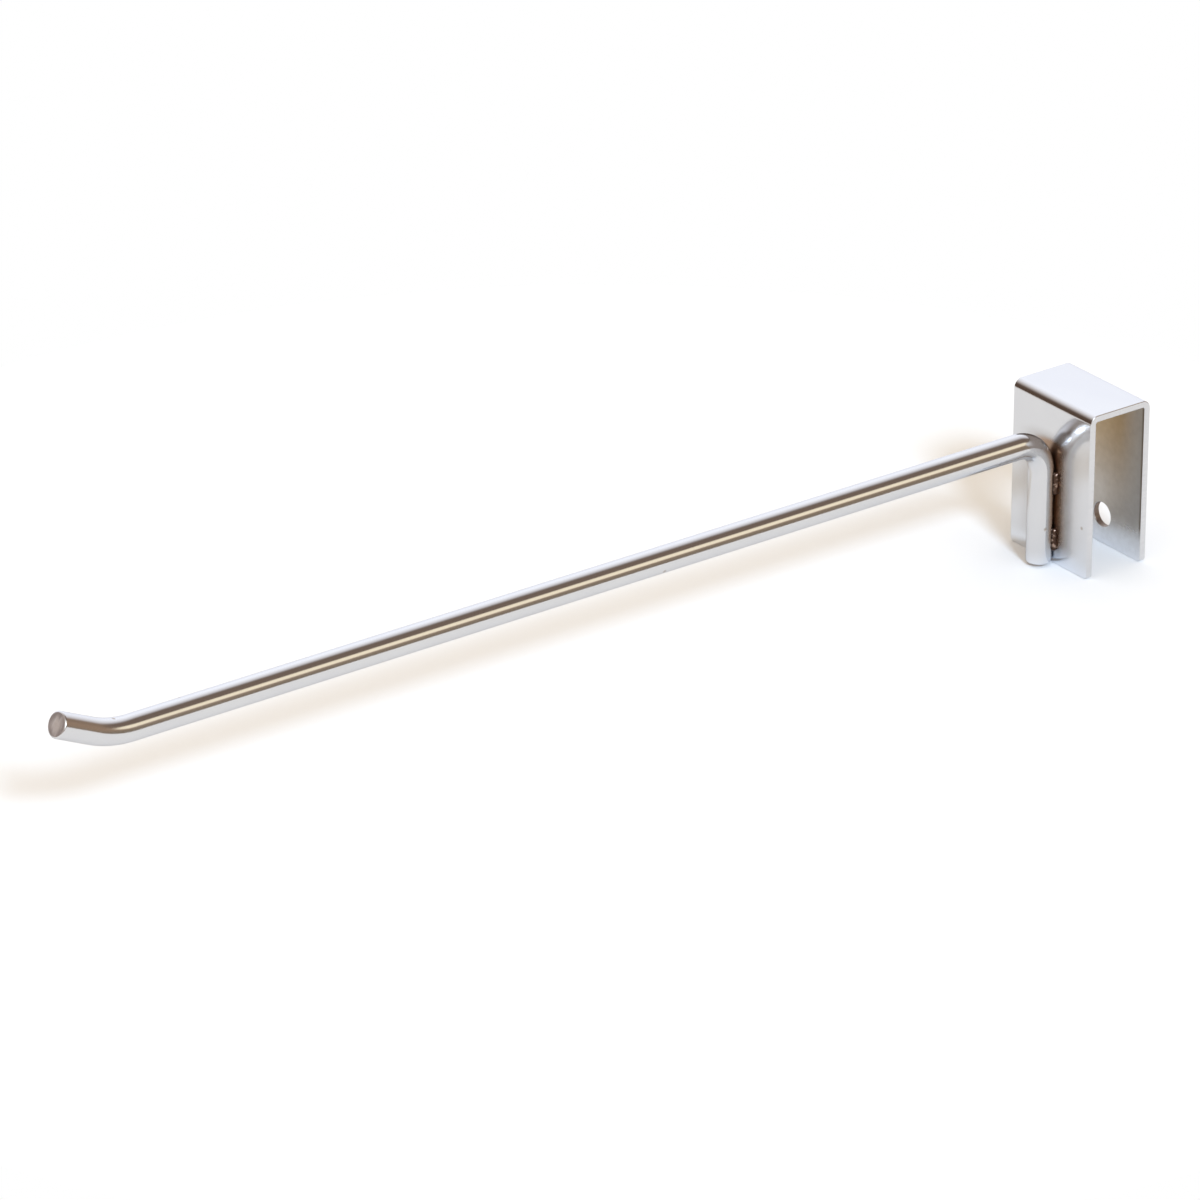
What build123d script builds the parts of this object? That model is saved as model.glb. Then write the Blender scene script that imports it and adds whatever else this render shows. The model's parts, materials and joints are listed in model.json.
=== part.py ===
from build123d import *
from math import cos, radians, sin, sqrt
import os

# Rectangular tube hook: a folded saddle that drops over a rectangular rail tube,
# with a round hook rod welded upright against the saddle's front flange.
# X runs along the rail, the rod reaches towards -Y and Z is up, in millimetres.
# The origin is the middle of the seat, on the underside of the saddle's web.

# Rail tube that the saddle drops over: its thickness, and the free play on each side of it
rail_thickness = 12.7
rail_clearance = 0.3

# Folded saddle: a sheared strip with two folds, its flange feet cornered and its rims rounded
strip_width = 25.4
sheet_thickness = 1.5
flange_length = 36.2
fold_radius = 0.5
foot_corner_radius = 1.0
rim_round = 0.2

# Screw hole in the rear flange, measured up from the flange's foot
screw_hole_diameter = 5.5
screw_hole_rise = 6.7

# Hook rod: an upright leg, an elbow, a level run and a tip that turns up
rod_diameter = 5.6
rod_drop = 8.8
elbow_radius = 6.8
leg_foot_rise = 0.7
reach = 250.0
tip_length = 13.4
tip_angle = 25.0
tip_bend_radius = 22.0
rod_end_chamfer = 0.4

# Resistance welds: how far they set the leg down flat, and the beads they push out beside it
weld_setdown = 0.15
weld_throat = 0.55
weld_bead_radius = 1.0
weld_bead_length = 5.5
upper_weld_inset = 3.3
lower_weld_inset = 5.1

# Places worked out from the sizes above
channel_half = rail_thickness / 2 + rail_clearance
flange_face = channel_half + sheet_thickness
flange_foot = -flange_length
screw_hole_level = flange_foot + screw_hole_rise
rod_radius = rod_diameter / 2
rod_level = sheet_thickness - rod_drop
leg_y = -flange_face - rod_radius + weld_setdown
leg_foot = flange_foot + leg_foot_rise
tip_y = -flange_face - reach
tip_level = rod_level + tip_length * sin(radians(tip_angle))
tip_bend_y = tip_y + tip_length * cos(radians(tip_angle))

# A bead's middle line lies where the cleft between the leg and the flange is one throat deep
bead_x = sqrt(rod_radius**2 - (rod_radius - weld_setdown - weld_throat) ** 2)
bead_y = -flange_face - weld_throat / 2
bead_levels = (rod_level - elbow_radius - upper_weld_inset, leg_foot + lower_weld_inset)

# Saddle: the inside of the fold is drawn first and thickened outwards
with BuildPart() as saddle_bracket:
    with BuildSketch(Plane.YZ.offset(-strip_width / 2)):
        with BuildLine():
            FilletPolyline(
                (-channel_half, flange_foot),
                (-channel_half, 0),
                (channel_half, 0),
                (channel_half, flange_foot),
                radius=fold_radius,
            )
            offset(amount=sheet_thickness, side=Side.LEFT)
        make_face()
    extrude(amount=strip_width)

    foot_corners = saddle_bracket.edges().filter_by(Axis.Y).group_by(Axis.Z)[0]
    fillet(foot_corners, radius=foot_corner_radius)

    # The rims are every edge but the smooth lines beside the folds and beside the foot corners
    sheet_edges = saddle_bracket.edges()
    fold_lines = sheet_edges.filter_by(Axis.X).group_by(Axis.Z)[1:]
    corner_lines = sheet_edges.filter_by(Axis.Y).group_by(Axis.Z)[:2]
    smooth_lines = [edge for group in fold_lines + corner_lines for edge in group]
    fillet(sheet_edges - smooth_lines, radius=rim_round)

    with Locations(Plane(origin=(0, flange_face, screw_hole_level), z_dir=(0, 1, 0))):
        Hole(radius=screw_hole_diameter / 2, depth=sheet_thickness)

# Rod: one round wire along its bent route, set down flat where it is welded to the flange
with BuildPart() as hook_rod:
    with BuildLine(Plane.YZ) as route:
        FilletPolyline(
            (leg_y, leg_foot),
            (leg_y, rod_level),
            (tip_bend_y, rod_level),
            (tip_y, tip_level),
            radius=[elbow_radius, tip_bend_radius],
        )
    with BuildSketch(Plane(origin=route.line @ 0, z_dir=route.line % 0)):
        Circle(rod_radius)
    sweep()

    rod_circles = hook_rod.edges().filter_by(GeomType.CIRCLE)
    chamfer([rod_circles.sort_by(Axis.Z)[0], rod_circles.sort_by(Axis.Y)[0]], length=rod_end_chamfer)
    add(saddle_bracket.part, mode=Mode.SUBTRACT)

# Weld bead before it is fitted: a short round bar of metal with ball ends
with BuildPart() as bead_bar:
    with BuildSketch(Plane.YZ):
        SlotOverall(weld_bead_length, 2 * weld_bead_radius, rotation=90)
        split(bisect_by=Plane.YZ)
    revolve(axis=Axis.Z)

# Weld beads: two on each side of the leg, shaped by the rod and the flange that they join
with BuildPart() as weld_beads:
    with Locations(*[(side * bead_x, bead_y, level) for side in (-1, 1) for level in bead_levels]):
        add(bead_bar.part)
    add(hook_rod.part, mode=Mode.SUBTRACT)
    add(saddle_bracket.part, mode=Mode.SUBTRACT)

saddle_bracket.part.label = "saddle_bracket"
hook_rod.part.label = "hook_rod"
weld_beads.part.label = "weld_beads"

os.makedirs("parts", exist_ok=True)
export_step(saddle_bracket.part, "parts/saddle_bracket.step")
export_step(hook_rod.part, "parts/hook_rod.step")
export_step(weld_beads.part, "parts/weld_beads.step")
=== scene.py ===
import bmesh
import bpy
import json
import math
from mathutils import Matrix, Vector


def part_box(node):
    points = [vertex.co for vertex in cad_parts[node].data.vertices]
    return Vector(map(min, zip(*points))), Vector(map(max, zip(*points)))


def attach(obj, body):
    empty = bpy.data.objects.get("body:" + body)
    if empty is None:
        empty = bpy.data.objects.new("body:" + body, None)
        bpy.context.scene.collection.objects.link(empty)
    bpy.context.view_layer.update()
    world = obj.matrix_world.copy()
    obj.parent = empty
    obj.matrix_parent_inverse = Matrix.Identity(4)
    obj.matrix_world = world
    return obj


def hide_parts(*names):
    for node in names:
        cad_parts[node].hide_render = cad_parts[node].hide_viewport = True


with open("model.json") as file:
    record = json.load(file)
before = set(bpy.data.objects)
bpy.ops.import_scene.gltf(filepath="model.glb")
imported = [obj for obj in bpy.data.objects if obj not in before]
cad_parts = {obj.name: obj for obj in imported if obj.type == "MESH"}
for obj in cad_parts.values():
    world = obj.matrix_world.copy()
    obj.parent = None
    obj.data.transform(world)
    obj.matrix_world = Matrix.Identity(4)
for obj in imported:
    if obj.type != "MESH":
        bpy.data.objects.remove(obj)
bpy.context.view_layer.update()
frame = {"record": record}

MM = 0.001

# Places and round sizes that the frame states
mounts = {mount["name"]: mount for mount in frame["record"]["mounts"]}
saddle_low, saddle_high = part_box("saddle_bracket")
rod_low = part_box("hook_rod")[0]
bead_low, bead_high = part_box("weld_beads")
hole_middle = Vector(mounts["screw_hole"]["pos_m"])
hole_radius = mounts["screw_hole"]["dims"]["r_mm"] * MM
rod_level = mounts["hanging_run"]["pos_m"][2]
rod_radius = mounts["hanging_run"]["dims"]["r_mm"] * MM
strip_width = saddle_high.x - saddle_low.x
flange_face = saddle_low.y
foot_level = saddle_low.z

# Sizes of the folded strip that the boxes don't give
SHEET = 1.5 * MM
FOLD_INSIDE = 0.5 * MM
FOOT_CORNER = 1.0 * MM
RIM_ROUND = 0.22 * MM
RIM_ANGLE = math.radians(40)
DRILL_LENGTH = 3 * SHEET
FOLD_STEPS = 12
CORNER_STEPS = 8
RIM_STEPS = 3
HOLE_SIDES = 72
channel_half = -flange_face - SHEET

# Sizes of the rod's route and of its cropped ends
WELD_SETDOWN = 0.15 * MM
ELBOW_RADIUS = 6.8 * MM
REACH = 250.0 * MM
TIP_LENGTH = 13.4 * MM
TIP_ANGLE = math.radians(25.0)
TIP_BEND_RADIUS = 22.0 * MM
END_ROUND = 0.5 * MM
ROD_SIDES = 96
ELBOW_STEPS = 32
TIP_BEND_STEPS = 16
END_STEPS = 4
leg_y = flange_face - rod_radius + WELD_SETDOWN
tip_y = flange_face - REACH
foot_middle = Vector((0, leg_y, rod_low.z))
tip_middle = Vector((0, tip_y, rod_level + TIP_LENGTH * math.sin(TIP_ANGLE)))
tip_way = Vector((0, -math.cos(TIP_ANGLE), math.sin(TIP_ANGLE)))

# Size of a weld bead and of the lumps on it
BEAD_LENGTH = 5.5 * MM
BEAD_RADIUS = 1.0 * MM
BEAD_LUMP = 1.6 * MM
BEAD_LUMP_HEIGHT = 0.25 * MM
BEAD_SIDES = 32
BEAD_RINGS = 24
BEAD_CUTS = 7

# Bevel profile that is a true round
TRUE_ROUND = 0.5

# How near counts as the same place: for corners and edges, for corners on the front flange's face,
# for corners that are merged and for the middles of faces
SLACK = 0.01 * MM
CUT_SLACK = 0.0001 * MM
MERGE_SLACK = 0.001 * MM
FACE_SLACK = 0.05 * MM

# How squarely a face has to look sideways, down, round or outwards, as a share of its normal, to count
# as a sheared side, a sheared foot, the hole's wall or a cropped end
SIDE_TURN = 0.6
FOOT_TURN = 0.4
HOLE_TURN = 0.8
END_TURN = 0.95

# Where the welds' heat marked the plate, and where painted shade lies beside the leg: the ends of the line
# that the leg was welded along, how many times the distance past those ends counts, and how ragged the
# marks' borders are
HEAT_LINE = (foot_level + 5.5 * MM, -9.6 * MM)
HEAT_SQUEEZE = 3.0
HEAT_RAGGED = 2.2 * MM

# How far from that line the flange's face is dull, rougher and darker with painted shade of the mirrored leg
# and cleft, and the cleft is brown, and how far from the face the dull and the brown go; where there are two
# sizes, a mark starts at the first and is full at the second
DULL_SHADE_REACH = (12.5 * MM, 2.0 * MM)
DULL_SHADE_DEPTH = 0.1 * MM
BROWN_REACH = (7.2 * MM, 3.0 * MM)
BROWN_DEPTH = (0.9 * MM, 0.4 * MM)

# Levels at which the painted shade on a fold's outside, a painted dark reflection, starts and is full,
# from below and from above
FOLD_SHADE_FOOT = (-0.5 * MM, 0.2 * MM)
FOLD_SHADE_TOP = (1.3 * MM, 0.6 * MM)

# How far up from the feet the plate has a painted glow, a painted reflection of the bright floor
FOOT_GLOW_REACH = 4.5 * MM

# Pits in the bright plate: on the tip's bend, on the run's top and side, on the leg and on the front flange
PITS = (
    Vector((0.2, -245.1, -4.1)) * MM,
    Vector((-1.0, -229.1, -4.7)) * MM,
    Vector((2.4, -112.5, -8.8)) * MM,
    Vector((2.7, -11.4, -27.1)) * MM,
    Vector((10.7, -8.15, -24.8)) * MM,
)
PIT_RADIUS = 0.55 * MM
PIT_DEPTH = 0.025 * MM

# Bright plate: its clouds, its polishing ripples, and the grit that polished it, which is drawn far coarser
# than it is so that it shows
CLOUD = 7 * MM
RIPPLE = 3 * MM
RIPPLE_HEIGHT = 0.004 * MM
GRIT = 0.9 * MM

# Plate in the channel: where bare nickel starts and is full, sideways and upwards, where the dark line
# that the shear's burr leaves along the rims starts and is full, and the size of the mottle
BARE_ASIDE = (12 * MM, 4 * MM)
BARE_LEVEL = (-30 * MM, -3 * MM)
BURR_ASIDE = (11.8 * MM, 12.4 * MM)
MOTTLE = 1.6 * MM

# Lines that the shear leaves on the strip's edges, and the punch on the hole's wall, drawn coarser than
# they are so that they show
SHEAR_LINE = 0.7 * MM
SHEAR_LINE_HEIGHT = 0.01 * MM
SCORE_WIDTH = 0.5 * MM
SCORE_LENGTH = 4 * MM
SCORE_HEIGHT = 0.03 * MM

# Cropped ends: the smear's slant, width and length, how far it shifts the torn border inwards, and how far
# from the middle that border starts and is full; inside it the face is lighter and at the rim darker,
# painted shade of a domed end
SMEAR_SLANT = math.radians(25)
SMEAR_WIDTH = 1.8 * MM
SMEAR_LENGTH = 6 * MM
TORN_SHADE_SHIFT = 1.5 * rod_radius
TORN_SHADE_REACH = (-0.55 * rod_radius, 0.2 * rod_radius)
TORN_DEPTH = 0.03 * MM

# Weld metal: the size and height of its grain, and the noise values at which its tops, lighter as painted
# highlights, start and are full
WELD_GRAIN = 0.8 * MM
WELD_GRAIN_HEIGHT = 0.04 * MM
WELD_GLINT_TOPS = (0.48, 0.72)

# Floor, key lamp and fill: the floor's reach, the lamp's power, its width as an angle, the way it stands
# and the strength of the plain light from all round
FLOOR_RADIUS = 220 * MM
FLOOR_SIDES = 128
KEY_ENERGY = 2.38
KEY_WIDTH = math.radians(11.5)
KEY_WAY = Vector((0.768, -0.225, 0.600))
FILL_STRENGTH = 0.85

# What the bright metal mirrors, laid over each other in turn as soft round patches of the studio:
# the way each lies, the angles from its middle at which it ends and is full, and its colour.
# The last is the white paper, which goes on past the floor's edge.
STUDIO_PLAIN = "#9c918a"
STUDIO_PATCHES = (
    ((0.518, 0.829, 0.208), 45, 20, "#887260"),
    ((0.288, 0.538, 0.792), 34, 18, "#68594f"),
    ((-0.727, -0.65, 0.17), 27, 14, "#63544a"),
    ((-0.866, 0.458, 0.204), 68, 23, "#f2f5fd"),
    ((0.779, -0.253, 0.574), 38, 20, "#ffffff"),
    ((0.842, 0.538, 0.030), 15, 4, "#766a5c"),
    ((0.677, 0.538, 0.503), 13.5, 8, "#e8dbc1"),
    ((0, 0, -1), 79, 72, "#cfcdcb"),
)
STUDIO_STRENGTH = 1.62

# Camera: the photograph's view, worked out from the object's edges in it
CAMERA_AZIMUTH = math.radians(53.43)
CAMERA_ELEVATION = math.radians(25.38)
CAMERA_DISTANCE = 1525.7 * MM
CAMERA_TARGET = Vector((0, -127.14 * MM, -12.0 * MM))
CAMERA_LENS = 225.0
CAMERA_SENSOR = 36.0

# Settings that several nodes share
SMOOTH_RISE = {"interpolation_type": "SMOOTHSTEP"}
COLOUR_MIX = {"data_type": "RGBA"}


def linear(code):
    """An sRGB hex colour as the linear colour that a shader takes."""
    channels = [int(code[i:i + 2], 16) / 255 for i in (1, 3, 5)]
    return [c / 12.92 if c <= 0.04045 else ((c + 0.055) / 1.055) ** 2.4 for c in channels] + [1.0]


def span(start, full):
    """The input values that make a mark rise from 0 at its start to 1 where it is full."""
    return {"From Min": start, "From Max": full}


def add_node(tree, kind, settings=(), values=(), links=()):
    """Adds a shader node, with its settings, its input values and links as (input, node, output)."""
    node = tree.nodes.new(kind)
    for name, value in dict(settings).items():
        setattr(node, name, value)
    for name, value in dict(values).items():
        node.inputs[name].default_value = value
    for name, source, output in links:
        tree.links.new(source.outputs[output], node.inputs[name])
    return node


def new_tree(name):
    """A new material of this name and its empty node tree."""
    material = bpy.data.materials.new(name)
    material.use_nodes = True
    material.node_tree.nodes.clear()
    return material, material.node_tree


# Modelling helpers

def clear_selection():
    """Deselects every object."""
    bpy.ops.object.select_all(action="DESELECT")


def begin(name):
    """Names the object at hand, applies its place and opens it in edit mode with nothing selected."""
    piece = bpy.context.object
    piece.name = name
    piece.data.name = name
    bpy.ops.object.transform_apply(location=True, rotation=True, scale=True)
    bpy.ops.object.mode_set(mode="EDIT")
    bpy.ops.mesh.select_all(action="DESELECT")
    return piece


def near(a, b, slack=SLACK):
    """Whether two measures are the same within the slack."""
    return abs(a - b) < slack


def select(piece, kind, test):
    """Selects the piece's verts or edges that pass the test with their middle, and no others."""
    bpy.ops.mesh.select_mode(type={"verts": "VERT", "edges": "EDGE"}[kind])
    bpy.ops.mesh.select_all(action="DESELECT")
    mesh = bmesh.from_edit_mesh(piece.data)
    for part in getattr(mesh, kind):
        middle = part.co if kind == "verts" else (part.verts[0].co + part.verts[1].co) / 2
        if test(part, middle):
            part.select_set(True)
    mesh.select_flush_mode()
    bmesh.update_edit_mesh(piece.data)


def cut_at_flange():
    """Cuts all of the open mesh off flat where the front flange begins, and closes the cut."""
    bpy.ops.mesh.select_all(action="SELECT")
    bpy.ops.mesh.bisect(
        plane_co=(0, flange_face, 0), plane_no=(0, 1, 0), use_fill=True, clear_outer=True,
        threshold=CUT_SLACK)


def finish_modifier(piece, kind, **settings):
    """Adds a modifier with these settings and applies it."""
    modifier = piece.modifiers.new(kind.title(), kind)
    for name, value in settings.items():
        setattr(modifier, name, value)
    bpy.context.view_layer.objects.active = piece
    bpy.ops.object.modifier_apply(modifier=modifier.name)


def shade_smooth(piece):
    """Shades all the piece's faces smooth."""
    for face in piece.data.polygons:
        face.use_smooth = True


def set_finishes(piece, finishes):
    """Puts these materials on the piece, in place of any that it has."""
    piece.data.materials.clear()
    for finish in finishes:
        piece.data.materials.append(finish)


# Saddle

def model_saddle():
    """Folds the strip round the rail, gives it its thickness, drills it and rounds its rims."""
    clear_selection()
    bpy.ops.mesh.primitive_plane_add(size=1)
    bpy.context.object.scale = (strip_width, 2 * channel_half, 1)
    piece = begin("saddle")

    def long_rim(edge, middle):
        return near(abs(middle.y), channel_half)

    select(piece, "edges", long_rim)
    bpy.ops.mesh.extrude_edges_move(TRANSFORM_OT_translate={"value": (0, 0, foot_level)})

    def fold(edge, middle):
        return near(abs(middle.y), channel_half) and near(middle.z, 0) and near(middle.x, 0)

    select(piece, "edges", fold)
    bpy.ops.mesh.bevel(offset=FOLD_INSIDE, segments=FOLD_STEPS, profile=TRUE_ROUND, affect="EDGES")

    def foot_corner(vert, middle):
        return near(middle.z, foot_level)

    select(piece, "verts", foot_corner)
    bpy.ops.mesh.bevel(offset=FOOT_CORNER, segments=CORNER_STEPS, profile=TRUE_ROUND, affect="VERTICES")
    bpy.ops.mesh.select_all(action="SELECT")
    bpy.ops.mesh.normals_make_consistent(inside=False)
    bpy.ops.object.mode_set(mode="OBJECT")

    # The strip thickens the way its faces look, which has to be away from the rail
    if piece.data.polygons[0].normal.z < 0:
        piece.data.flip_normals()
    finish_modifier(piece, "SOLIDIFY", thickness=SHEET, offset=1.0, use_even_offset=True)

    clear_selection()
    bpy.ops.mesh.primitive_cylinder_add(
        vertices=HOLE_SIDES, radius=hole_radius, depth=DRILL_LENGTH, location=hole_middle,
        rotation=(math.pi / 2, 0, 0))
    drill = bpy.context.object
    finish_modifier(piece, "BOOLEAN", operation="DIFFERENCE", object=drill, solver="EXACT")
    bpy.data.objects.remove(drill)
    shade_smooth(piece)
    finish_modifier(
        piece, "BEVEL", width=RIM_ROUND, segments=RIM_STEPS, limit_method="ANGLE", angle_limit=RIM_ANGLE,
        harden_normals=True)
    return piece


def finish_saddle(piece, outside, inside, edges, pierced):
    """Gives the outside, the channel's inside, the sheared edges and the hole's wall their own finish."""
    finishes = [outside, inside, edges, pierced]
    set_finishes(piece, finishes)
    for face in piece.data.polygons:
        middle = face.center
        from_hole = math.hypot(middle.x - hole_middle.x, middle.z - hole_middle.z)
        in_hole = middle.y > 0 and near(from_hole, hole_radius, 2 * FACE_SLACK)
        in_channel = abs(middle.y) < channel_half + FACE_SLACK and middle.z < FACE_SLACK
        at_foot = middle.z < foot_level + FOOT_CORNER and face.normal.z < -FOOT_TURN
        if in_hole and math.hypot(face.normal.x, face.normal.z) > HOLE_TURN:
            finish = pierced
        elif at_foot or abs(face.normal.x) > SIDE_TURN:
            finish = edges
        elif in_channel:
            finish = inside
        else:
            finish = outside
        face.material_index = finishes.index(finish)


# Hook rod

def model_rod():
    """Draws the wire out from its foot: up the leg, round the elbow, along the run and up the tip."""
    elbow_start = rod_level - ELBOW_RADIUS
    run_start = leg_y - ELBOW_RADIUS
    tip_bend_tangent = TIP_BEND_RADIUS * math.tan(TIP_ANGLE / 2)
    tip_straight = TIP_LENGTH - tip_bend_tangent
    tip_bend_start = tip_y + TIP_LENGTH * math.cos(TIP_ANGLE) + tip_bend_tangent

    clear_selection()
    bpy.ops.mesh.primitive_circle_add(
        vertices=ROD_SIDES, radius=rod_radius, fill_type="NGON", location=foot_middle)
    piece = begin("rod")
    bpy.ops.mesh.select_all(action="SELECT")
    bpy.ops.mesh.extrude_region_move(TRANSFORM_OT_translate={"value": (0, 0, elbow_start - rod_low.z)})
    bpy.ops.mesh.spin(
        steps=ELBOW_STEPS, angle=math.pi / 2, center=(0, run_start, elbow_start), axis=(-1, 0, 0))
    bpy.ops.mesh.extrude_region_move(TRANSFORM_OT_translate={"value": (0, tip_bend_start - run_start, 0)})
    bpy.ops.mesh.spin(
        steps=TIP_BEND_STEPS, angle=TIP_ANGLE, center=(0, tip_bend_start, rod_level + TIP_BEND_RADIUS),
        axis=(1, 0, 0))
    bpy.ops.mesh.extrude_region_move(TRANSFORM_OT_translate={"value": tip_way * tip_straight})
    bpy.ops.mesh.select_all(action="SELECT")
    bpy.ops.mesh.remove_doubles(threshold=MERGE_SLACK)
    bpy.ops.mesh.normals_make_consistent(inside=False)

    def end_rim(edge, middle):
        at_foot = all(near(vert.co.z, rod_low.z) for vert in edge.verts)
        at_tip = all(near((vert.co - tip_middle).dot(tip_way), 0) for vert in edge.verts)
        return at_foot or at_tip

    select(piece, "edges", end_rim)
    bpy.ops.mesh.bevel(offset=END_ROUND, segments=END_STEPS, profile=TRUE_ROUND, affect="EDGES")
    cut_at_flange()

    def welded_flat(edge, middle):
        return all(near(vert.co.y, flange_face, 2 * CUT_SLACK) for vert in edge.verts)

    select(piece, "edges", welded_flat)
    bpy.ops.mesh.mark_sharp()
    bpy.ops.mesh.select_all(action="SELECT")
    bpy.ops.mesh.normals_make_consistent(inside=False)
    bpy.ops.object.mode_set(mode="OBJECT")
    shade_smooth(piece)
    finish_modifier(piece, "WEIGHTED_NORMAL", mode="FACE_AREA", keep_sharp=True)
    return piece


def finish_rod(piece, plate, ends):
    """Gives the wire its plate and its two cropped ends their own finish."""
    finishes = [plate, ends]
    set_finishes(piece, finishes)
    for face in piece.data.polygons:
        at_foot = face.normal.z < -END_TURN and face.center.z < rod_low.z + END_ROUND
        at_tip = face.normal.dot(tip_way) > END_TURN and face.center.y < tip_y + rod_radius
        face.material_index = finishes.index(ends if at_foot or at_tip else plate)


# Weld beads

def model_beads(rod):
    """Makes a ball-ended bar of weld metal, copies it to four places, roughens it and fits it to the rod."""
    stretch = BEAD_LENGTH / 2 - BEAD_RADIUS
    clear_selection()
    bpy.ops.mesh.primitive_uv_sphere_add(segments=BEAD_SIDES, ring_count=BEAD_RINGS, radius=BEAD_RADIUS)
    bar = begin("weld_bar")
    select(bar, "verts", lambda vert, middle: middle.z > SLACK)
    bpy.ops.transform.translate(value=(0, 0, stretch))
    select(bar, "verts", lambda vert, middle: middle.z < -SLACK)
    bpy.ops.transform.translate(value=(0, 0, -stretch))
    select(bar, "edges", lambda edge, middle: abs(edge.verts[0].co.z - edge.verts[1].co.z) > stretch / 2)
    bpy.ops.mesh.subdivide(number_cuts=BEAD_CUTS)
    bpy.ops.object.mode_set(mode="OBJECT")

    bars = []
    for side in (-1, 1):
        for level in (bead_high.z - BEAD_LENGTH / 2, bead_low.z + BEAD_LENGTH / 2):
            copy = bar.copy()
            copy.data = bar.data.copy()
            copy.location = (side * (bead_high.x - BEAD_RADIUS), bead_low.y + BEAD_RADIUS, level)
            bpy.context.scene.collection.objects.link(copy)
            bars.append(copy)
    bpy.data.objects.remove(bar)
    clear_selection()
    for copy in bars:
        copy.select_set(True)
    bpy.context.view_layer.objects.active = bars[0]
    bpy.ops.object.join()
    piece = begin("welds")
    bpy.ops.object.mode_set(mode="OBJECT")

    lumps = bpy.data.textures.new("weld_lumps", "CLOUDS")
    lumps.noise_scale = BEAD_LUMP
    finish_modifier(
        piece, "DISPLACE", texture=lumps, texture_coords="LOCAL", strength=BEAD_LUMP_HEIGHT, mid_level=0.5)
    bpy.ops.object.mode_set(mode="EDIT")
    cut_at_flange()
    bpy.ops.object.mode_set(mode="OBJECT")
    finish_modifier(piece, "BOOLEAN", operation="DIFFERENCE", object=rod, solver="EXACT")
    shade_smooth(piece)
    return piece


# Finishes

def weld_heat_and_shade(tree, place, split):
    """How far the welds' heat dulled the flange, with painted shade, and browned the cleft beside the leg,
    each from 0 to 1.
    """
    foot, top = HEAT_LINE
    level = add_node(
        tree, "ShaderNodeMapRange", values={**span(foot, top), "To Min": foot, "To Max": top},
        links=[("Value", split, "Z")])
    past = add_node(
        tree, "ShaderNodeMath", {"operation": "SUBTRACT"}, links=[(0, split, "Z"), (1, level, "Result")])
    past = add_node(
        tree, "ShaderNodeMath", {"operation": "MULTIPLY"}, {1: HEAT_SQUEEZE}, [(0, past, "Value")])
    away = add_node(tree, "ShaderNodeCombineXYZ", links=[("X", split, "X"), ("Z", past, "Value")])
    away = add_node(tree, "ShaderNodeVectorMath", {"operation": "LENGTH"}, links=[(0, away, "Vector")])
    ragged = add_node(
        tree, "ShaderNodeTexNoise", {}, {"Scale": 1 / HEAT_RAGGED, "Detail": 2.0},
        [("Vector", place, "Object")])
    away = add_node(
        tree, "ShaderNodeMath", {"operation": "MULTIPLY_ADD"}, {1: HEAT_RAGGED / 2},
        [(0, ragged, "Fac"), (2, away, "Value")])
    off_face = add_node(
        tree, "ShaderNodeMath", {"operation": "SUBTRACT"}, {1: flange_face}, [(0, split, "Y")])
    off_face = add_node(tree, "ShaderNodeMath", {"operation": "ABSOLUTE"}, links=[(0, off_face, "Value")])
    on_face = add_node(
        tree, "ShaderNodeMath", {"operation": "LESS_THAN"}, {1: DULL_SHADE_DEPTH}, [(0, off_face, "Value")])
    # Dull: rougher plate round the weld; its darker colour on the bright plate is painted shade of the
    # mirrored leg and cleft
    dull = add_node(
        tree, "ShaderNodeMapRange", SMOOTH_RISE, span(*DULL_SHADE_REACH), [("Value", away, "Value")])
    dull = add_node(
        tree, "ShaderNodeMath", {"operation": "MULTIPLY"},
        links=[(0, dull, "Result"), (1, on_face, "Value")])
    brown = add_node(
        tree, "ShaderNodeMapRange", SMOOTH_RISE, span(*BROWN_REACH), [("Value", away, "Value")])
    in_cleft = add_node(
        tree, "ShaderNodeMapRange", SMOOTH_RISE, span(*BROWN_DEPTH), [("Value", off_face, "Value")])
    brown = add_node(
        tree, "ShaderNodeMath", {"operation": "MULTIPLY"},
        links=[(0, brown, "Result"), (1, in_cleft, "Result")])
    return dull, brown


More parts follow.
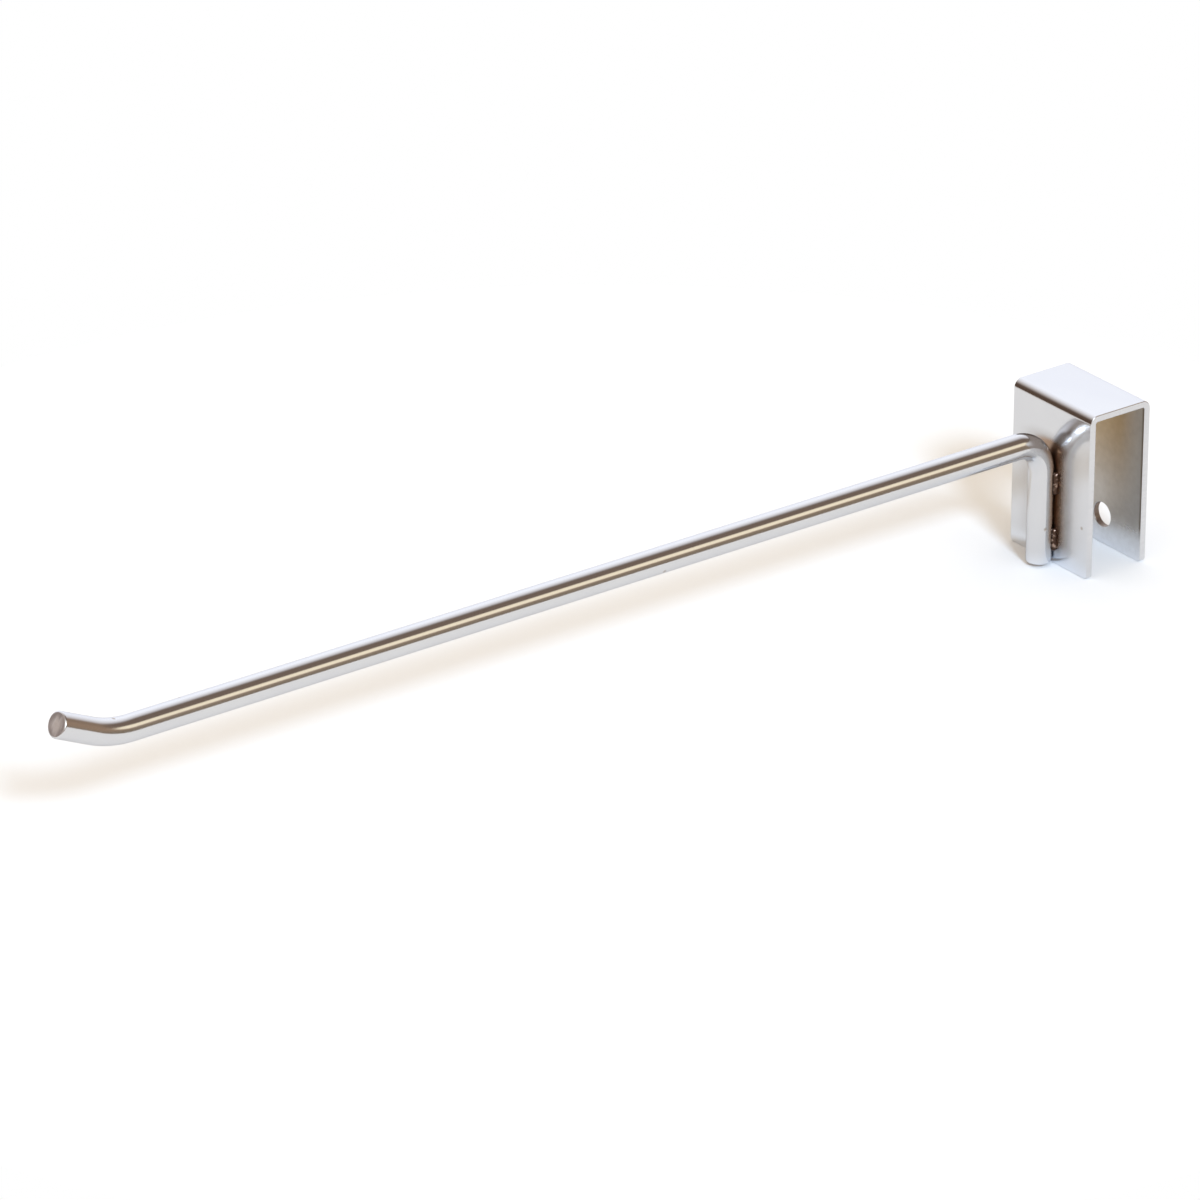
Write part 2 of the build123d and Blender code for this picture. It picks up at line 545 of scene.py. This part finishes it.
def bright_plate(name, folded):
    """Chrome plate on polished steel: a clear cool mirror with faint clouds, polishing ripples and pits.

    It has a painted glow at the feet, a painted reflection of the bright floor. The welds' heat dulled it,
    with painted shade of the mirrored leg and cleft in its darker colour, and browned it in the cleft beside
    the leg.
    On the folded strip it is darker along the folds with painted shade, a painted dark reflection.
    """
    material, tree = new_tree(name)
    place = add_node(tree, "ShaderNodeTexCoord")
    split = add_node(tree, "ShaderNodeSeparateXYZ", links=[("Vector", place, "Object")])
    dull, brown = weld_heat_and_shade(tree, place, split)
    # Painted glow: the plate is lighter near the feet, a painted reflection of the bright floor
    painted_foot_glow = add_node(
        tree, "ShaderNodeMapRange", SMOOTH_RISE, span(foot_level + FOOT_GLOW_REACH, foot_level),
        [("Value", split, "Z")])
    nearest = None
    for middle in PITS:
        away = add_node(
            tree, "ShaderNodeVectorMath", {"operation": "DISTANCE"}, {1: middle}, [(0, place, "Object")])
        if nearest:
            away = add_node(
                tree, "ShaderNodeMath", {"operation": "MINIMUM"},
                links=[(0, nearest, "Value"), (1, away, "Value")])
        nearest = away
    pit = add_node(
        tree, "ShaderNodeMapRange", SMOOTH_RISE, span(PIT_RADIUS, PIT_RADIUS / 3),
        [("Value", nearest, "Value")])

    cloudy = add_node(
        tree, "ShaderNodeTexNoise", {}, {"Scale": 1 / CLOUD, "Detail": 2.0}, [("Vector", place, "Object")])
    tone = add_node(
        tree, "ShaderNodeMix", COLOUR_MIX, {"A": linear("#d0d0d2"), "B": linear("#d5d5d5")},
        [("Factor", cloudy, "Fac")])
    marks = [
        # painted glow at the feet, a painted reflection of the bright floor
        (painted_foot_glow, "Result", "#e3e5e9"),
        # dull plate, darker as painted shade of the mirrored leg and cleft
        (dull, "Value", "#b1adaa"),
        (brown, "Value", "#a38a76"),
        (pit, "Result", "#b0a79f"),
    ]
    if folded:
        # Painted shade along the folds: the plate is darker round each fold, a painted dark reflection
        from_below = add_node(
            tree, "ShaderNodeMapRange", SMOOTH_RISE, span(*FOLD_SHADE_FOOT), [("Value", split, "Z")])
        from_above = add_node(
            tree, "ShaderNodeMapRange", SMOOTH_RISE, span(*FOLD_SHADE_TOP), [("Value", split, "Z")])
        painted_fold_shade = add_node(
            tree, "ShaderNodeMath", {"operation": "MULTIPLY"},
            links=[(0, from_below, "Result"), (1, from_above, "Result")])
        marks.append((painted_fold_shade, "Value", "#a59d97"))
    for mark, output, colour in marks:
        tone = add_node(
            tree, "ShaderNodeMix", COLOUR_MIX, {"B": linear(colour)},
            [("Factor", mark, output), ("A", tone, "Result")])

    grit = add_node(
        tree, "ShaderNodeTexNoise", {}, {"Scale": 1 / GRIT, "Detail": 3.0}, [("Vector", place, "Object")])
    gloss = add_node(
        tree, "ShaderNodeMapRange", {}, {"To Min": 0.10, "To Max": 0.18}, [("Value", grit, "Fac")])
    gloss = add_node(
        tree, "ShaderNodeMath", {"operation": "MULTIPLY_ADD"}, {1: 0.15},
        [(0, dull, "Value"), (2, gloss, "Result")])
    ripple = add_node(
        tree, "ShaderNodeTexNoise", {}, {"Scale": 1 / RIPPLE, "Detail": 1.0}, [("Vector", place, "Object")])
    relief = add_node(tree, "ShaderNodeBump", {}, {"Distance": RIPPLE_HEIGHT}, [("Height", ripple, "Fac")])
    relief = add_node(
        tree, "ShaderNodeBump", {"invert": True}, {"Distance": PIT_DEPTH},
        [("Height", pit, "Result"), ("Normal", relief, "Normal")])
    shader = add_node(
        tree, "ShaderNodeBsdfPrincipled", {}, {"Metallic": 1.0, "Specular Tint": linear("#dcdcde")},
        [("Base Color", tone, "Result"), ("Roughness", gloss, "Value"), ("Normal", relief, "Normal")])
    add_node(tree, "ShaderNodeOutputMaterial", links=[("Surface", shader, "BSDF")])
    return material


def channel_plate():
    """Thin plate inside the channel: dull, mottled, and yellow with nickel where little chrome settled.

    It has a painted glow at the feet, a painted reflection of the lit floor, and above them the shear's burr
    leaves a dark line along the rims.
    """
    material, tree = new_tree("dull_channel_plate")
    place = add_node(tree, "ShaderNodeTexCoord")
    split = add_node(tree, "ShaderNodeSeparateXYZ", links=[("Vector", place, "Object")])
    aside = add_node(tree, "ShaderNodeMath", {"operation": "ABSOLUTE"}, links=[(0, split, "X")])
    middle = add_node(
        tree, "ShaderNodeMapRange", SMOOTH_RISE, span(*BARE_ASIDE), [("Value", aside, "Value")])
    high = add_node(tree, "ShaderNodeMapRange", SMOOTH_RISE, span(*BARE_LEVEL), [("Value", split, "Z")])
    bare = add_node(
        tree, "ShaderNodeMath", {"operation": "MULTIPLY"},
        links=[(0, middle, "Result"), (1, high, "Result")])
    # Painted glow: the plate is lighter near the feet, a painted reflection of the lit floor
    painted_foot_glow = add_node(
        tree, "ShaderNodeMapRange", SMOOTH_RISE, span(foot_level + 2 * FOOT_GLOW_REACH, foot_level),
        [("Value", split, "Z")])
    above_feet = add_node(
        tree, "ShaderNodeMapRange", SMOOTH_RISE, span(foot_level + FOOT_GLOW_REACH, foot_level + 2 * FOOT_GLOW_REACH),
        [("Value", split, "Z")])
    burr = add_node(
        tree, "ShaderNodeMapRange", SMOOTH_RISE, span(*BURR_ASIDE),
        [("Value", aside, "Value"), ("To Max", above_feet, "Result")])

    tone = add_node(
        tree, "ShaderNodeMix", COLOUR_MIX, {"A": linear("#cbcac8"), "B": linear("#bca47f")},
        [("Factor", bare, "Value")])
    for mark, colour in ((painted_foot_glow, "#eceef2"), (burr, "#8f867d")):
        tone = add_node(
            tree, "ShaderNodeMix", COLOUR_MIX, {"B": linear(colour)},
            [("Factor", mark, "Result"), ("A", tone, "Result")])
    mottle = add_node(
        tree, "ShaderNodeTexNoise", {}, {"Scale": 1 / MOTTLE, "Detail": 3.0}, [("Vector", place, "Object")])
    tone = add_node(
        tree, "ShaderNodeMix", {**COLOUR_MIX, "blend_type": "MULTIPLY"}, {"B": linear("#e6e4e2")},
        [("Factor", mottle, "Fac"), ("A", tone, "Result")])
    dull = add_node(
        tree, "ShaderNodeMapRange", {}, {**span(foot_level, foot_level / 2), "To Min": 0.18, "To Max": 0.36},
        [("Value", split, "Z")])
    dull = add_node(
        tree, "ShaderNodeMath", {"operation": "MULTIPLY_ADD"}, {1: 0.05},
        [(0, mottle, "Fac"), (2, dull, "Result")])
    shader = add_node(
        tree, "ShaderNodeBsdfPrincipled", {}, {"Metallic": 1.0},
        [("Base Color", tone, "Result"), ("Roughness", dull, "Value")])
    add_node(tree, "ShaderNodeOutputMaterial", links=[("Surface", shader, "BSDF")])
    return material


def edge_plate():
    """Plate over a sheared edge: bright, with the fine lines that the shear leaves through the thickness."""
    material, tree = new_tree("sheared_edge_plate")
    place = add_node(tree, "ShaderNodeTexCoord")
    split = add_node(tree, "ShaderNodeSeparateXYZ", links=[("Vector", place, "Object")])
    on_web = add_node(tree, "ShaderNodeMath", {"operation": "GREATER_THAN"}, {1: 0.0}, [(0, split, "Z")])
    along = add_node(
        tree, "ShaderNodeMix", {"data_type": "FLOAT"},
        links=[("Factor", on_web, "Value"), ("A", split, "Z"), ("B", split, "Y")])
    lines = add_node(
        tree, "ShaderNodeTexNoise", {"noise_dimensions": "1D"}, {"Scale": 1 / SHEAR_LINE, "Detail": 2.0},
        [("W", along, "Result")])
    tone = add_node(
        tree, "ShaderNodeMix", COLOUR_MIX, {"A": linear("#cbcbcd"), "B": linear("#dcdcdd")},
        [("Factor", lines, "Fac")])
    gloss = add_node(
        tree, "ShaderNodeMapRange", {}, {"To Min": 0.15, "To Max": 0.3}, [("Value", lines, "Fac")])
    relief = add_node(
        tree, "ShaderNodeBump", {}, {"Distance": SHEAR_LINE_HEIGHT}, [("Height", lines, "Fac")])
    shader = add_node(
        tree, "ShaderNodeBsdfPrincipled", {}, {"Metallic": 1.0},
        [("Base Color", tone, "Result"), ("Roughness", gloss, "Result"), ("Normal", relief, "Normal")])
    add_node(tree, "ShaderNodeOutputMaterial", links=[("Surface", shader, "BSDF")])
    return material


def pierced_plate():
    """Thin plate on the pierced hole's wall: dull and scored through the thickness by the punch, and dark
    brown as painted shade in the hole.
    """
    material, tree = new_tree("pierced_hole_plate")
    place = add_node(tree, "ShaderNodeTexCoord")
    stretch = add_node(
        tree, "ShaderNodeMapping", {}, {"Scale": (1 / SCORE_WIDTH, 1 / SCORE_LENGTH, 1 / SCORE_WIDTH)},
        [("Vector", place, "Object")])
    scores = add_node(
        tree, "ShaderNodeTexNoise", {}, {"Scale": 1.0, "Detail": 2.0}, [("Vector", stretch, "Vector")])
    # Dark brown: painted shade in the hole
    tone = add_node(
        tree, "ShaderNodeMix", COLOUR_MIX, {"A": linear("#6c5c4e"), "B": linear("#92837a")},
        [("Factor", scores, "Fac")])
    gloss = add_node(
        tree, "ShaderNodeMapRange", {}, {"To Min": 0.5, "To Max": 0.35}, [("Value", scores, "Fac")])
    relief = add_node(tree, "ShaderNodeBump", {}, {"Distance": SCORE_HEIGHT}, [("Height", scores, "Fac")])
    shader = add_node(
        tree, "ShaderNodeBsdfPrincipled", {}, {"Metallic": 1.0},
        [("Base Color", tone, "Result"), ("Roughness", gloss, "Result"), ("Normal", relief, "Normal")])
    add_node(tree, "ShaderNodeOutputMaterial", links=[("Surface", shader, "BSDF")])
    return material


def cropped_plate():
    """Plate over a cropped rod end: grey and streaked, with a torn rim, and painted shade of a domed end:
    light in the middle and dark at the rim.
    """
    material, tree = new_tree("cropped_end_plate")
    place = add_node(tree, "ShaderNodeTexCoord")
    slant = add_node(
        tree, "ShaderNodeMapping", {}, {
            "Rotation": (0, SMEAR_SLANT, 0),
            "Scale": (1 / SMEAR_WIDTH, 1 / SMEAR_LENGTH, 1 / SMEAR_LENGTH)},
        [("Vector", place, "Object")])
    smear = add_node(
        tree, "ShaderNodeTexNoise", {}, {"Scale": 1.0, "Detail": 3.0}, [("Vector", slant, "Vector")])
    from_tip, from_foot = [
        add_node(
            tree, "ShaderNodeVectorMath", {"operation": "DISTANCE"}, {1: middle}, [(0, place, "Object")])
        for middle in (tip_middle, foot_middle)]
    out = add_node(
        tree, "ShaderNodeMath", {"operation": "MINIMUM"},
        links=[(0, from_tip, "Value"), (1, from_foot, "Value")])
    ragged = add_node(
        tree, "ShaderNodeMath", {"operation": "MULTIPLY_ADD"}, {1: -TORN_SHADE_SHIFT},
        [(0, smear, "Fac"), (2, out, "Value")])
    # Torn rim: rougher and sunk at the rim, and painted shade of a domed end: lighter in the middle, darker
    # at the rim
    torn_rim_and_shade = add_node(tree, "ShaderNodeMapRange", SMOOTH_RISE, span(*TORN_SHADE_REACH), [("Value", ragged, "Value")])
    tone = add_node(
        tree, "ShaderNodeMix", COLOUR_MIX, {"A": linear("#fffaf6"), "B": linear("#b2a8a4")},
        [("Factor", torn_rim_and_shade, "Result")])
    gloss = add_node(
        tree, "ShaderNodeMapRange", {}, {"To Min": 0.36, "To Max": 0.5}, [("Value", torn_rim_and_shade, "Result")])
    relief = add_node(
        tree, "ShaderNodeBump", {"invert": True}, {"Distance": TORN_DEPTH}, [("Height", torn_rim_and_shade, "Result")])
    shader = add_node(
        tree, "ShaderNodeBsdfPrincipled", {}, {"Metallic": 1.0},
        [("Base Color", tone, "Result"), ("Roughness", gloss, "Result"), ("Normal", relief, "Normal")])
    add_node(tree, "ShaderNodeOutputMaterial", links=[("Surface", shader, "BSDF")])
    return material


def weld_plate():
    """Plate over weld metal: browned by heat, rough and darker in the hollows as painted shade, and lighter
    on the tops of its grain as painted highlights.
    """
    material, tree = new_tree("plated_weld_metal")
    place = add_node(tree, "ShaderNodeTexCoord")
    grain = add_node(
        tree, "ShaderNodeTexNoise", {}, {"Scale": 1 / WELD_GRAIN, "Detail": 3.0},
        [("Vector", place, "Object")])
    # Painted highlights on the grain's tops and painted shade in its hollows, over heat-browned weld metal
    top = add_node(tree, "ShaderNodeMapRange", SMOOTH_RISE, span(*WELD_GLINT_TOPS), [("Value", grain, "Fac")])
    tone = add_node(
        tree, "ShaderNodeMix", COLOUR_MIX, {"A": linear("#4c3a30"), "B": linear("#a68f80")},
        [("Factor", top, "Result")])
    gloss = add_node(
        tree, "ShaderNodeMapRange", {}, {"To Min": 0.32, "To Max": 0.2}, [("Value", top, "Result")])
    relief = add_node(
        tree, "ShaderNodeBump", {}, {"Distance": WELD_GRAIN_HEIGHT}, [("Height", grain, "Fac")])
    shader = add_node(
        tree, "ShaderNodeBsdfPrincipled", {}, {"Metallic": 1.0},
        [("Base Color", tone, "Result"), ("Roughness", gloss, "Result"), ("Normal", relief, "Normal")])
    add_node(tree, "ShaderNodeOutputMaterial", links=[("Surface", shader, "BSDF")])
    return material


# Floor, light and camera

def lay_floor():
    """Lays a round white paper under the object."""
    clear_selection()
    bpy.ops.mesh.primitive_circle_add(
        vertices=FLOOR_SIDES, radius=FLOOR_RADIUS, fill_type="NGON",
        location=(0, (rod_low.y + saddle_high.y) / 2, foot_level))
    floor = bpy.context.object
    floor.name = "paper_floor"
    material, tree = new_tree("white_seamless_paper")
    shader = add_node(tree, "ShaderNodeBsdfDiffuse", values={"Color": linear("#fafafa")})
    add_node(tree, "ShaderNodeOutputMaterial", links=[("Surface", shader, "BSDF")])
    floor.data.materials.append(material)


def light_studio():
    """Lights the floor with a plain warm white and a cool key, and shows the metal the studio's patches."""
    world = bpy.data.worlds.new("studio")
    bpy.context.scene.world = world
    world.use_nodes = True
    tree = world.node_tree
    tree.nodes.clear()
    way = add_node(tree, "ShaderNodeTexCoord")
    ray = add_node(tree, "ShaderNodeLightPath")

    sky = None
    for towards, end, full, colour in STUDIO_PATCHES:
        turn = add_node(
            tree, "ShaderNodeVectorMath", {"operation": "DOT_PRODUCT"}, {1: Vector(towards).normalized()},
            [(0, way, "Generated")])
        patch = add_node(
            tree, "ShaderNodeMapRange", {}, span(math.cos(math.radians(end)), math.cos(math.radians(full))),
            [("Value", turn, "Value")])
        under = [("A", sky, "Result")] if sky else []
        sky = add_node(
            tree, "ShaderNodeMix", COLOUR_MIX, {"A": linear(STUDIO_PLAIN), "B": linear(colour)},
            [("Factor", patch, "Result")] + under)

    fill = add_node(
        tree, "ShaderNodeBackground", values={"Color": linear("#fff3e4"), "Strength": FILL_STRENGTH})
    seen = add_node(tree, "ShaderNodeBackground", values={"Color": linear("#ffffff"), "Strength": 1.0})
    mirrored = add_node(
        tree, "ShaderNodeBackground", values={"Strength": STUDIO_STRENGTH}, links=[("Color", sky, "Result")])
    lit = add_node(
        tree, "ShaderNodeMixShader",
        links=[(0, ray, "Is Glossy Ray"), (1, fill, "Background"), (2, mirrored, "Background")])
    surroundings = add_node(
        tree, "ShaderNodeMixShader",
        links=[(0, ray, "Is Camera Ray"), (1, lit, "Shader"), (2, seen, "Background")])
    add_node(tree, "ShaderNodeOutputWorld", links=[("Surface", surroundings, "Shader")])

    key = bpy.data.lights.new("key", "SUN")
    key.energy = KEY_ENERGY
    key.angle = KEY_WIDTH
    key.color = linear("#cde5ff")[:3]
    lamp = bpy.data.objects.new("key", key)
    bpy.context.scene.collection.objects.link(lamp)
    lamp.rotation_euler = KEY_WAY.to_track_quat("Z", "Y").to_euler()


def set_camera():
    """Looks at the object the way the photograph does."""
    back = Vector((
        math.sin(CAMERA_AZIMUTH) * math.cos(CAMERA_ELEVATION),
        -math.cos(CAMERA_AZIMUTH) * math.cos(CAMERA_ELEVATION),
        math.sin(CAMERA_ELEVATION)))
    data = bpy.data.cameras.new("photo_view")
    data.lens = CAMERA_LENS
    data.sensor_width = CAMERA_SENSOR
    camera = bpy.data.objects.new("photo_view", data)
    camera.location = CAMERA_TARGET + back * CAMERA_DISTANCE
    camera.rotation_euler = back.to_track_quat("Z", "Y").to_euler()
    bpy.context.scene.collection.objects.link(camera)
    bpy.context.scene.camera = camera


saddle = model_saddle()
rod = model_rod()
welds = model_beads(rod)
strip_plate = bright_plate("bright_chrome_on_strip", folded=True)
wire_plate = bright_plate("bright_chrome_on_wire", folded=False)
finish_saddle(saddle, strip_plate, channel_plate(), edge_plate(), pierced_plate())
finish_rod(rod, wire_plate, cropped_plate())
set_finishes(welds, [weld_plate()])
for piece, node, slot in (
        (saddle, "saddle_bracket", "chrome_plate"),
        (rod, "hook_rod", "chrome_plate"),
        (welds, "weld_beads", "plated_weld")):
    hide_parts(node)
    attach(piece, "root")

lay_floor()
light_studio()
set_camera()
bpy.context.scene.view_settings.view_transform = "Standard"
